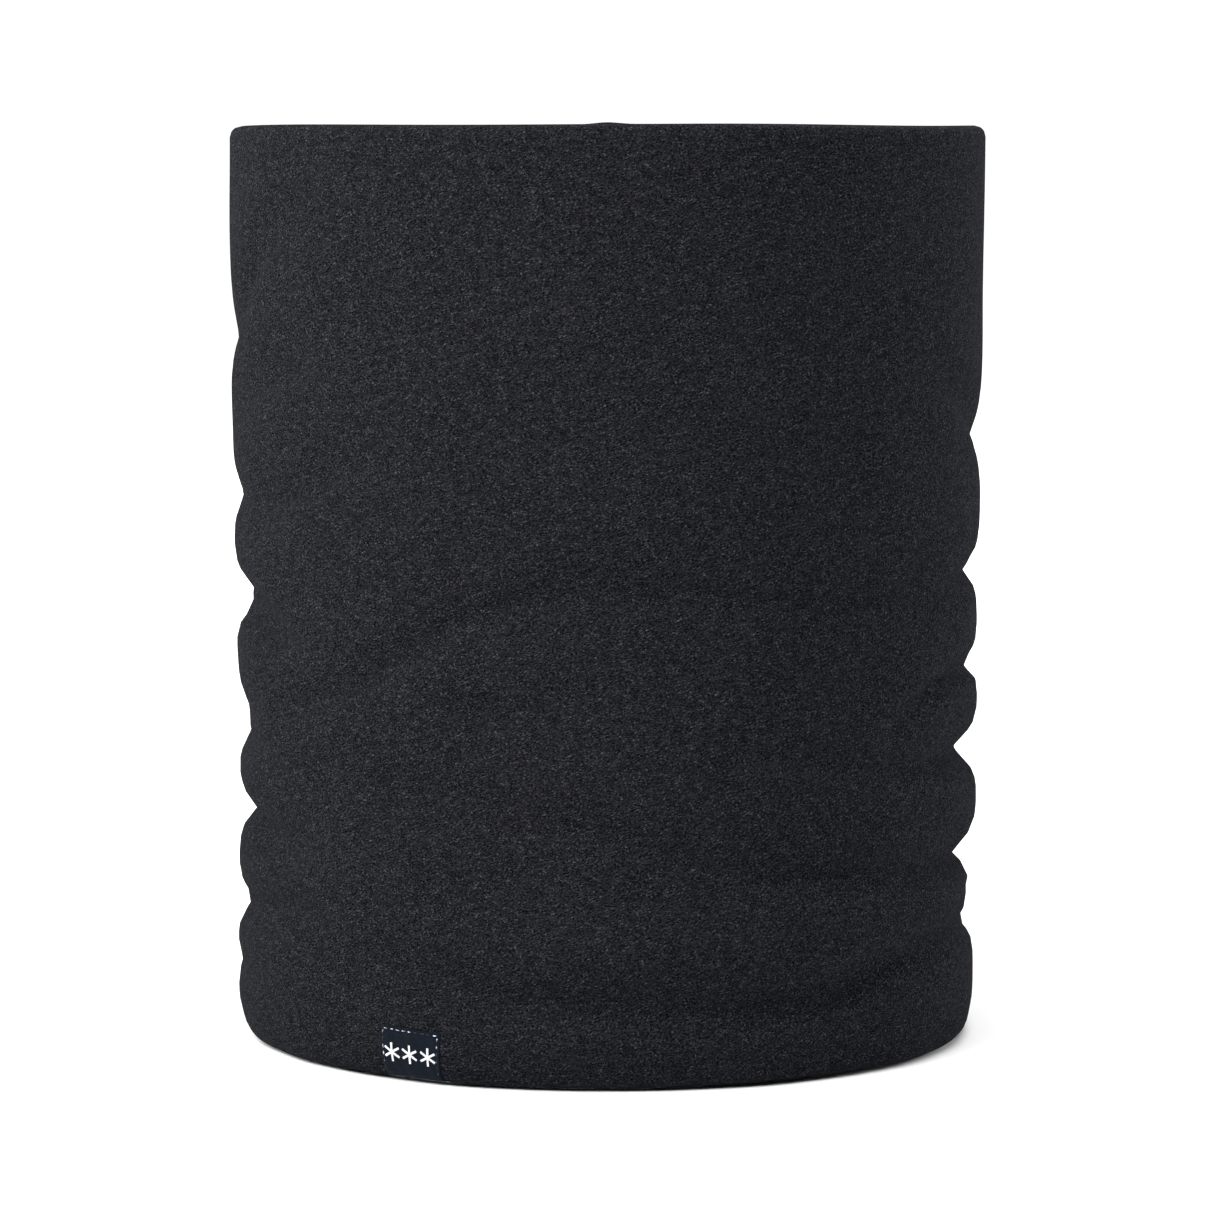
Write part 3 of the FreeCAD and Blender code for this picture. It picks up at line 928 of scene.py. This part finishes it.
@dataclass
class Tube:
    """The gaiter's two layers of fleece."""

    drape: Drape
    finishes: Finishes
    outer_flat: float = 0.50
    lining_flat: float = 0.47
    turned: float = 9.0

    def build(self) -> list[bpy.types.Object]:
        """Make both layers, bake their places and hide the parts they replace."""
        outer = Layer("outer_layer", Side.OUTSIDE, self.drape, self.finishes.outer).build()
        lining = Layer("lining_layer", Side.INSIDE, self.drape, self.finishes.lining).build()
        for piece, node, slot in ((outer, "outer_shell", "outer_fleece"),
                                  (lining, "lining", "lining_fleece")):
            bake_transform(piece)
            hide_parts(node)
        return [outer, lining]


# ---------------------------------------------------------------- inside the wall


@dataclass
class Seams:
    """The margins and the stitches that the wall holds inside."""

    drape: Drape
    finishes: Finishes
    columns: int = 180
    ring_thickness: float = 1.1
    flap_thickness: float = 0.36
    flap_offset: float = 0.30
    flap_inner: float = 1.2
    flap_outer: float = 8.0
    thread: float = 0.12
    thread_offset: float = 0.17
    stitch: float = 2.6
    hem_low: float = 3.2
    hem_high: float = 19.0
    hem_thread: float = 2.75
    back_low: float = 22.0
    back_high: float = 177.0
    top_low: float = 181.0
    top_clear: float = 3.0
    top_thread: float = 2.55
    gap: tuple[float, float] = (66.0, 126.0)
    gap_knot: float = 1.0

    def build(self) -> list[bpy.types.Object]:
        """Make every margin and line of stitches; tie those of the hem and the top edge to their
        bodies and bake the back seam's in place.
        """
        height = self.drape.wall.height
        low, high = self.gap
        whole = ((self.back_low, self.back_high),)
        split = ((self.back_low, low - self.gap_knot), (high + self.gap_knot, self.back_high))
        made = []
        for name, bottom, top, body, node in (
                ("top_edge_margins", self.top_low, height - self.top_clear, TOP_BODY,
                 "top_margins"),
                ("hem_edge_margins", self.hem_low, self.hem_high, ROOT_BODY, "hem_margins")):
            made.append(self._tie(self.ring(name, bottom, top), body, node, "fleece_margins"))
        for name, level, body, node in (
                ("top_edge_stitches", height - self.top_thread, TOP_BODY, "top_stitches"),
                ("hem_edge_stitches", self.hem_thread, ROOT_BODY, "hem_stitches")):
            made.append(self._tie(self.thread_ring(name, level), body, node, "dark_thread"))
        for name, sign, node in (("outer_seam_margins", 1.0, "outer_back_margins"),
                                 ("lining_seam_margins", -1.0, "lining_back_margins")):
            made.append(self._tie(self.flaps(name, sign), "", node, "fleece_margins"))
        for name, sign, runs, node in (
                ("outer_seam_stitches", 1.0, whole, "outer_back_stitches"),
                ("lining_seam_stitches", -1.0, split, "lining_back_stitches"),
                ("turning_gap_stitches_visual", -1.0, (self.gap,), "turning_gap_stitches")):
            threads = [self.thread_run(name, sign, *run) for run in runs]
            made.append(self._tie(Bench.join(name, threads), "", node, "dark_thread"))
        return made

    @staticmethod
    def _tie(piece: bpy.types.Object, body: str, node: str, slot: str) -> bpy.types.Object:
        """Tie a piece to one body, or bake its place where it stands when no body is given."""
        if body:
            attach(piece, body)
        else:
            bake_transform(piece)
        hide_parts(node)
        return piece

    def ring(self, name: str, low: float, high: float) -> bpy.types.Object:
        """A band of joined margins round the tube, between two heights in mm."""
        wall = self.drape.wall
        piece = Bench.tube(name, self.columns, 6, wall.outside * MM, low * MM, high * MM)
        places = Bench.places(piece)
        azimuth, height = azimuth_of(places), places[:, 2] / MM
        Bench.move(piece, self.drape.point(azimuth, height, np.zeros_like(height)))
        Bench.lay_cloth_map(piece, np.radians(azimuth) * wall.outside * MM, places[:, 2],
                            2 * math.pi * wall.outside * MM)
        Bench.thicken(piece, self.ring_thickness * MM, 0.0)
        Bench.smooth(piece, 40.0)
        return dress(piece, self.finishes.lining)

    def thread_ring(self, name: str, level: float) -> bpy.types.Object:
        """A line of stitches round the tube at a height in mm."""
        wall = self.drape.wall
        Bench.clear()
        bpy.ops.mesh.primitive_torus_add(major_segments=480, minor_segments=6,
                                         major_radius=wall.outside * MM,
                                         minor_radius=self.thread * MM)
        piece = Bench.named(name)
        places = Bench.places(piece)
        azimuth = azimuth_of(places)
        out = np.hypot(places[:, 0], places[:, 1]) / MM - wall.outside
        wave = 0.1 * np.sin(np.radians(azimuth) * 190.0)
        Bench.move(piece, self.drape.point(azimuth, places[:, 2] / MM + level, out + wave))
        Bench.smooth(piece)
        return dress(piece, self.finishes.dark_thread)

    def flaps(self, name: str, sign: float) -> bpy.types.Object:
        """The two margins of a back seam, pressed open to either side of its stitches."""
        wall = self.drape.wall
        made = []
        for side in (-1.0, 1.0):
            piece = Bench.patch(f"{name}_flap", 8, 90)
            places = Bench.places(piece)
            across = side * (self.flap_inner + places[:, 0] * (self.flap_outer - self.flap_inner))
            height = self.back_low + places[:, 1] * (self.back_high - self.back_low)
            azimuth = wall.seam_azimuth + np.degrees(across / wall.outside)
            offset = np.full_like(height, sign * self.flap_offset)
            Bench.move(piece, self.drape.point(azimuth, height, offset))
            Bench.lay_cloth_map(piece, across * MM, height * MM)
            Bench.thicken(piece, self.flap_thickness * MM, 0.0)
            made.append(Bench.close(piece))
        joined = Bench.join(name, made)
        Bench.smooth(joined, 40.0)
        return dress(joined, self.finishes.lining)

    def thread_run(self, name: str, sign: float, low: float, high: float) -> bpy.types.Object:
        """A line of stitches up a back seam, between two heights in mm."""
        wall = self.drape.wall
        rows = int((high - low) / 0.65)
        piece = Bench.tube(name, 6, rows, self.thread * MM, low * MM, high * MM, "NGON")
        places = Bench.places(piece) / MM
        wave = 0.05 * np.sin(2 * math.pi * places[:, 2] / self.stitch)
        azimuth = wall.seam_azimuth + np.degrees((places[:, 0] + wave) / wall.outside)
        offset = sign * (self.thread_offset + places[:, 1])
        Bench.move(piece, self.drape.point(azimuth, places[:, 2], offset))
        Bench.close(piece, 50.0)
        return dress(piece, self.finishes.dark_thread)


# ---------------------------------------------------------------- labels


@dataclass
class HemLabel:
    """The woven tape folded under the hem, its figure and its stitches."""

    drape: Drape
    finishes: Finishes
    width: float = 14.0
    rise: float = 10.9
    cloth: float = 0.34
    gap: float = 0.03
    tilt: float = 3.0
    columns: int = 28
    rows: int = 84
    inset: float = 0.55
    stitch: float = 1.45
    bead: tuple[float, float, float] = (0.50, 0.13, 0.12)
    flake: float = 1.95
    flake_step: float = 4.3
    flake_height: float = 5.6
    stroke: float = 0.46
    bulge: float = 1.5
    turned: float = 2.0

    def face(self) -> float:
        """Distance of the tape's middle from the wall's middle, mm."""
        wall = self.drape.wall
        return wall.half - wall.press_in + self.gap + self.cloth / 2

    def place(self, across: np.ndarray, up: np.ndarray, lift: np.ndarray) -> np.ndarray:
        """Points on the label's outer leaf.

        Args:
            across: mm from the label's middle, growing towards +X.
            up: mm above the hem.
            lift: mm outwards from the tape's middle.

        Returns:
            Points in metres.
        """
        lean = math.tan(math.radians(self.tilt))
        swing = across + (up - self.rise / 2) * lean * np.clip(up / 3.0, 0.0, 1.0)
        azimuth = self._azimuth(swing)
        height = up - across * lean * np.clip(up / 6.0, 0.0, 1.0)
        return self.drape.point(azimuth, height, self.face() + lift)

    def _azimuth(self, across: np.ndarray) -> np.ndarray:
        """Azimuth of places beside the label's middle, given in mm."""
        wall = self.drape.wall
        return wall.label_azimuth + np.degrees(across / (wall.outside - self.bulge))

    @staticmethod
    def _pucker(across: np.ndarray, up: np.ndarray) -> np.ndarray:
        """How far the tape's puckers stand out, mm."""
        return 0.05 * np.sin(2.3 * across + 0.8 * up) + 0.06 * np.cos(1.1 * across - 0.5)

    def build(self) -> list[bpy.types.Object]:
        """Make the tape, its figure and its stitches, and tie them to the frame."""
        tape, figure, stitches = self.tape(), self.figure(), self.stitches()
        for piece in (tape, figure, stitches):
            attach(piece, ROOT_BODY)
        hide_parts("woven_label")
        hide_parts("label_stitches")
        return [tape, figure, stitches]

    def _section(self) -> tuple[np.ndarray, np.ndarray]:
        """Heights and distances from the wall's middle, from one leaf's top to the other's."""
        wall = self.drape.wall
        inner = wall.half - wall.edge
        bottom = wall.press_up - self.gap - self.cloth / 2
        face = self.face()
        turn = np.linspace(0.0, math.pi / 2, 9)
        leaf_rows = 24
        leaf = np.stack((np.linspace(self.rise, wall.edge + 0.3, leaf_rows),
                         np.full(leaf_rows, face)), -1)
        bend = np.stack((wall.edge - (wall.edge - bottom) * np.sin(turn),
                         inner + (face - inner) * np.cos(turn)), -1)
        half = np.concatenate((leaf, bend))
        other = half[::-1] * np.array([1.0, -1.0])
        section = np.concatenate((half, other))
        steps = np.concatenate(([0.0], np.cumsum(np.hypot(*np.diff(section, axis=0).T))))
        even = np.linspace(0.0, steps[-1], self.rows + 1)
        return np.interp(even, steps, section[:, 0]), np.interp(even, steps, section[:, 1])

    def tape(self) -> bpy.types.Object:
        """The folded tape."""
        piece = Bench.patch("hem_label", self.columns, self.rows)
        places = Bench.places(piece)
        heights, offsets = self._section()
        row = np.rint(places[:, 1] * self.rows).astype(int)
        up, offset = heights[row], offsets[row]
        across = (places[:, 0] - 0.5) * self.width
        outside = self.place(across, up, offset - self.face() + self._pucker(across, up))
        inside = self.drape.point(self._azimuth(across), up, offset)
        share = np.clip(offset / self.face(), 0.0, 1.0)[:, None]
        Bench.move(piece, outside * share + inside * (1.0 - share))
        Bench.lay_cloth_map(piece, across * MM, places[:, 1] * 2 * self.rise * MM)
        Bench.thicken(piece, self.cloth * MM, 0.0)
        Bench.close(piece, 45.0)
        return dress(piece, self.finishes.tape)

    def _stroke(self, name: str, start: tuple[float, float],
                end: tuple[float, float]) -> bpy.types.Object:
        """One woven stroke on the label's face, between two points in mm."""
        piece = Bench.patch(name, 6, 2)
        places = Bench.places(piece)
        a, b = np.array(start), np.array(end)
        along = (b - a) / np.linalg.norm(b - a)
        side = np.array([-along[1], along[0]])
        flat = (a + places[:, :1] * (b - a) + (places[:, 1:2] - 0.5) * self.stroke * side)
        lift = np.full(len(flat), self.cloth / 2 + 0.02)
        edge = np.abs(places[:, 1] - 0.5) > 0.4
        lift = lift + np.where(edge, 0.0, 0.05)
        across, up = flat.T
        Bench.move(piece, self.place(across, up, lift + self._pucker(across, up)))
        Bench.lay_cloth_map(piece, across * MM, up * MM)
        Bench.thicken(piece, 0.08 * MM, 0.0)
        return piece

    def _flake_strokes(self, middle: float) -> list[tuple[tuple, tuple]]:
        """The strokes of a six-armed snow crystal round a point on the label."""
        centre = np.array([middle, self.flake_height])
        arms = [self.flake * np.array([math.sin(turn), math.cos(turn)])
                for turn in map(math.radians, range(0, 180, 60))]
        return [(tuple(centre - arm), tuple(centre + arm)) for arm in arms]

    def figure(self) -> bpy.types.Object:
        """Three snow crystals woven across the label."""
        made = []
        for place in (-1, 0, 1):
            for start, end in self._flake_strokes(place * self.flake_step):
                made.append(self._stroke("crystal_stroke", start, end))
        piece = Bench.join("label_figure", made)
        Bench.close(piece, 45.0)
        return dress(piece, self.finishes.figure)

    def _stitch_line(self) -> list[tuple[float, float, float]]:
        """Each stitch's place on the label and its turn in degrees."""
        edge = self.width / 2 - self.inset
        top = self.rise - self.inset
        line = [(x, top, 0.0) for x in np.arange(-edge + 0.7, edge, self.stitch)]
        for side in (-edge, edge):
            line += [(side, y, 90.0) for y in np.arange(top - 0.9, 0.9, -self.stitch)]
        return line

    def stitches(self) -> bpy.types.Object:
        """The stitches across the label's top and down its sides."""
        Bench.clear()
        bpy.ops.mesh.primitive_uv_sphere_add(segments=8, ring_count=6, radius=1.0)
        pattern = Bench.named("label_stitch")
        ball = Bench.places(pattern)
        made = []
        for index, (x, y, turn) in enumerate(self._stitch_line()):
            copy = pattern.copy()
            copy.data = pattern.data.copy()
            bpy.context.scene.collection.objects.link(copy)
            lean = math.radians(turn + 7.0 * math.sin(index * 2.4))
            long, wide, deep = (ball * self.bead).T
            across = x + long * math.cos(lean) - wide * math.sin(lean)
            up = y + long * math.sin(lean) + wide * math.cos(lean)
            sink = 0.10 * ball[:, 0] ** 2
            lift = self.cloth / 2 + 0.06 + deep - sink
            Bench.move(copy, self.place(across, up, lift))
            made.append(copy)
        bpy.data.objects.remove(pattern)
        piece = Bench.join("hem_label_stitches", made)
        Bench.smooth(piece)
        return dress(piece, self.finishes.label_thread)


@dataclass
class CareLabel:
    """The blank satin label caught in the lining's seam, folded to a loop."""

    drape: Drape
    finishes: Finishes
    length: float = 28.0
    low: float = 24.5
    high: float = 55.5
    ply: float = 0.13
    apart: float = 0.12
    hinge_radius: float = 75.3
    start: float = 179.0
    rooted: float = 2.4
    caught: float = 0.6
    bends: float = 12.0
    curl: float = 1.3
    wave: float = 0.25
    clear: float = 0.5
    columns: int = 64
    rows: int = 26

    def build(self) -> list[bpy.types.Object]:
        """Make the label, bake its place and hide the part it replaces."""
        piece = Bench.patch("care_loop", self.columns, self.rows)
        places = Bench.places(piece)
        run, ply = self._run(places[:, 0])
        height = self.low + places[:, 1] * (self.high - self.low)
        free = self._free_radius()
        azimuth = self.start - np.degrees(run / free)
        radius = free + (self.hinge_radius - free) * bell(run, self.rooted)
        share = run / self.length
        curl = self.curl * share ** 3 * (0.4 + 0.6 * (1.0 - places[:, 1]))
        wave = self.wave * share * np.sin(7.0 * places[:, 1] + 4.0 * share)
        radius = radius - curl - wave - ply
        a = np.radians(azimuth)
        Bench.move(piece, np.stack((radius * np.sin(a), -radius * np.cos(a), height), -1) * MM)
        Bench.lay_cloth_map(piece, places[:, 0] * 2 * self.length * MM, height * MM)
        Bench.thicken(piece, self.ply * MM, 0.0)
        Bench.close(piece, 50.0)
        dress(piece, self.finishes.care)
        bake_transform(piece)
        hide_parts("care_label")
        return [piece]

    def _run(self, share: np.ndarray) -> tuple[np.ndarray, np.ndarray]:
        """Distance from the seam and distance from the wall side, along the folded tape.

        Args:
            share: place along the tape, from one end in the seam to the other.

        Returns:
            Distance from the seam and rise towards the neck, mm.
        """
        fold = 0.02
        out = np.clip(share / (0.5 - fold), 0.0, 1.0)
        back = np.clip((1.0 - share) / (0.5 - fold), 0.0, 1.0)
        turn = np.clip((share - 0.5) / fold, -1.0, 1.0) * math.pi / 2
        tip = np.where(np.abs(share - 0.5) < fold, np.cos(turn), 0.0) * self.apart
        run = np.minimum(out, back) * (self.length - self.apart) + tip
        return run, self.apart * (1.0 + np.sin(turn))

    def _free_radius(self) -> float:
        """Radius at which the label clears the lining's folds, mm."""
        heights = np.linspace(self.low, self.high, 24)
        turns = np.linspace(self.start - 22.0, self.start - 3.0, 24)
        azimuth, height = (grid.ravel() for grid in np.meshgrid(turns, heights))
        return float(self.drape.middle(azimuth, height).min()) - self.drape.wall.half - self.clear


# ---------------------------------------------------------------- light and camera


@dataclass(frozen=True)
class Softbox:
    """A large soft light aimed at the gaiter.

    Attributes:
        name: the light's name.
        place: its middle, metres.
        size: its side, metres.
        power: watts.
        aim: what it faces, metres.
    """

    name: str
    place: tuple[float, float, float]
    size: float
    power: float
    aim: tuple[float, float, float] = (0.0, 0.0, 0.095)

    def build(self) -> None:
        """Add the light to the scene."""
        light = bpy.data.lights.new(self.name, "AREA")
        light.size = self.size
        light.energy = self.power
        lamp = bpy.data.objects.new(self.name, light)
        lamp.location = self.place
        lamp.visible_camera = False
        aim = Vector(self.aim) - Vector(self.place)
        lamp.rotation_euler = aim.to_track_quat("-Z", "Y").to_euler()
        bpy.context.scene.collection.objects.link(lamp)


@dataclass(frozen=True)
class Studio:
    """Pale floor, soft light and the camera.

    Attributes:
        distance: from the camera to the gaiter's axis, metres.
        tilt: how far the camera looks down, degrees.
        field: its field of view, degrees.
        sky: strength of the light from all round.
        backdrop: strength of the white behind the gaiter, in directions whose +Y share is
            past the second figure of backdrop_edge.
        glow: distances from the gaiter at which the floor starts and ends turning to white.
        paper: the floor's grey.
        boxes: the lights.
    """

    distance: float = 1.1
    tilt: float = 5.34
    field: float = 13.394
    sky: float = 0.06
    backdrop: float = 1.05
    backdrop_edge: tuple[float, float] = (0.80, 0.96)
    floor_size: float = 120.0
    floor_drop: float = 0.0004
    glow: tuple[float, float] = (0.35, 1.6)
    paper: float = 0.88
    boxes: tuple[Softbox, ...] = (
        Softbox("key_box", (-1.10, -0.80, 1.40), 1.2, 50.0),
        Softbox("front_box", (0.35, -0.75, 1.85), 1.2, 13.0),
        Softbox("top_box", (0.25, 0.15, 1.90), 1.2, 30.0),
        Softbox("right_rim", (1.38, 0.85, 0.42), 0.8, 27.0),
        Softbox("left_rim", (-1.38, 0.70, 0.42), 0.8, 24.0),
    )

    def build(self, height: float) -> None:
        """Set up the floor, the lights and the camera.

        Args:
            height: the camera's height, metres.
        """
        self._floor()
        self._sky()
        for box in self.boxes:
            box.build()
        camera_data = bpy.data.cameras.new("camera")
        camera_data.angle = math.radians(self.field)
        camera = bpy.data.objects.new("camera", camera_data)
        camera.location = (0.0, -self.distance, height)
        camera.rotation_euler = (math.radians(90.0 - self.tilt), 0.0, 0.0)
        bpy.context.scene.collection.objects.link(camera)
        bpy.context.scene.camera = camera
        bpy.context.scene.view_settings.view_transform = "Standard"

    def _floor(self) -> None:
        """A plain pale floor that turns to a lit white sheet away from the gaiter."""
        Bench.clear()
        bpy.ops.mesh.primitive_plane_add(size=self.floor_size,
                                         location=(0.0, 0.0, -self.floor_drop))
        floor = Bench.settle(Bench.named("floor"))
        graph = Graph("floor_paper")
        place = graph.node("ShaderNodeTexCoord", {}, {}, "Object")
        away = graph.node("ShaderNodeVectorMath", {"operation": "LENGTH"}, {0: place}, "Value")
        glow = graph.colour(away.over(*self.glow), (0.0, 0.0, 0.0, 1.0), (1.0, 1.0, 1.0, 1.0))
        graph.set(Base_Color=(self.paper, self.paper, self.paper, 1.0), Roughness=0.9,
                  Specular_IOR_Level=0.0, Emission_Color=glow, Emission_Strength=1.0)
        dress(floor, graph.material)

    def _sky(self) -> None:
        """Soft white light all round, with a white backdrop behind the gaiter."""
        world = bpy.data.worlds.new("studio")
        world.use_nodes = True
        nodes, links = world.node_tree.nodes, world.node_tree.links
        direction = nodes.new("ShaderNodeTexCoord")
        parts = nodes.new("ShaderNodeSeparateXYZ")
        share = nodes.new("ShaderNodeMapRange")
        share.interpolation_type = "SMOOTHSTEP"
        names = ("From Min", "From Max", "To Min", "To Max")
        for name, value in zip(names, (*self.backdrop_edge, self.sky, self.backdrop)):
            share.inputs[name].default_value = value
        background = nodes["Background"]
        background.inputs["Color"].default_value = (1.0, 1.0, 1.0, 1.0)
        links.new(direction.outputs["Generated"], parts.inputs[0])
        links.new(parts.outputs["Y"], share.inputs["Value"])
        links.new(share.outputs[0], background.inputs["Strength"])
        bpy.context.scene.world = world


def main() -> None:
    """Build the gaiter and its studio."""
    logging.basicConfig(level=logging.INFO, format="%(name)s: %(message)s")
    low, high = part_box("outer_shell")
    wall = Wall(height=(high.z - low.z) / MM)
    drape = Drape(wall, FRONT_FOLDS + SIDE_FOLDS + BACK_FOLDS, DENTS)
    finishes = Finishes.make()
    for part in (Tube, Seams, HemLabel, CareLabel):
        for piece in part(drape, finishes).build():
            LOG.info("%s: %d faces", piece.name, len(piece.data.polygons))
    Studio().build(drape.wall.height * MM)


if __name__ == "__main__":
    main()
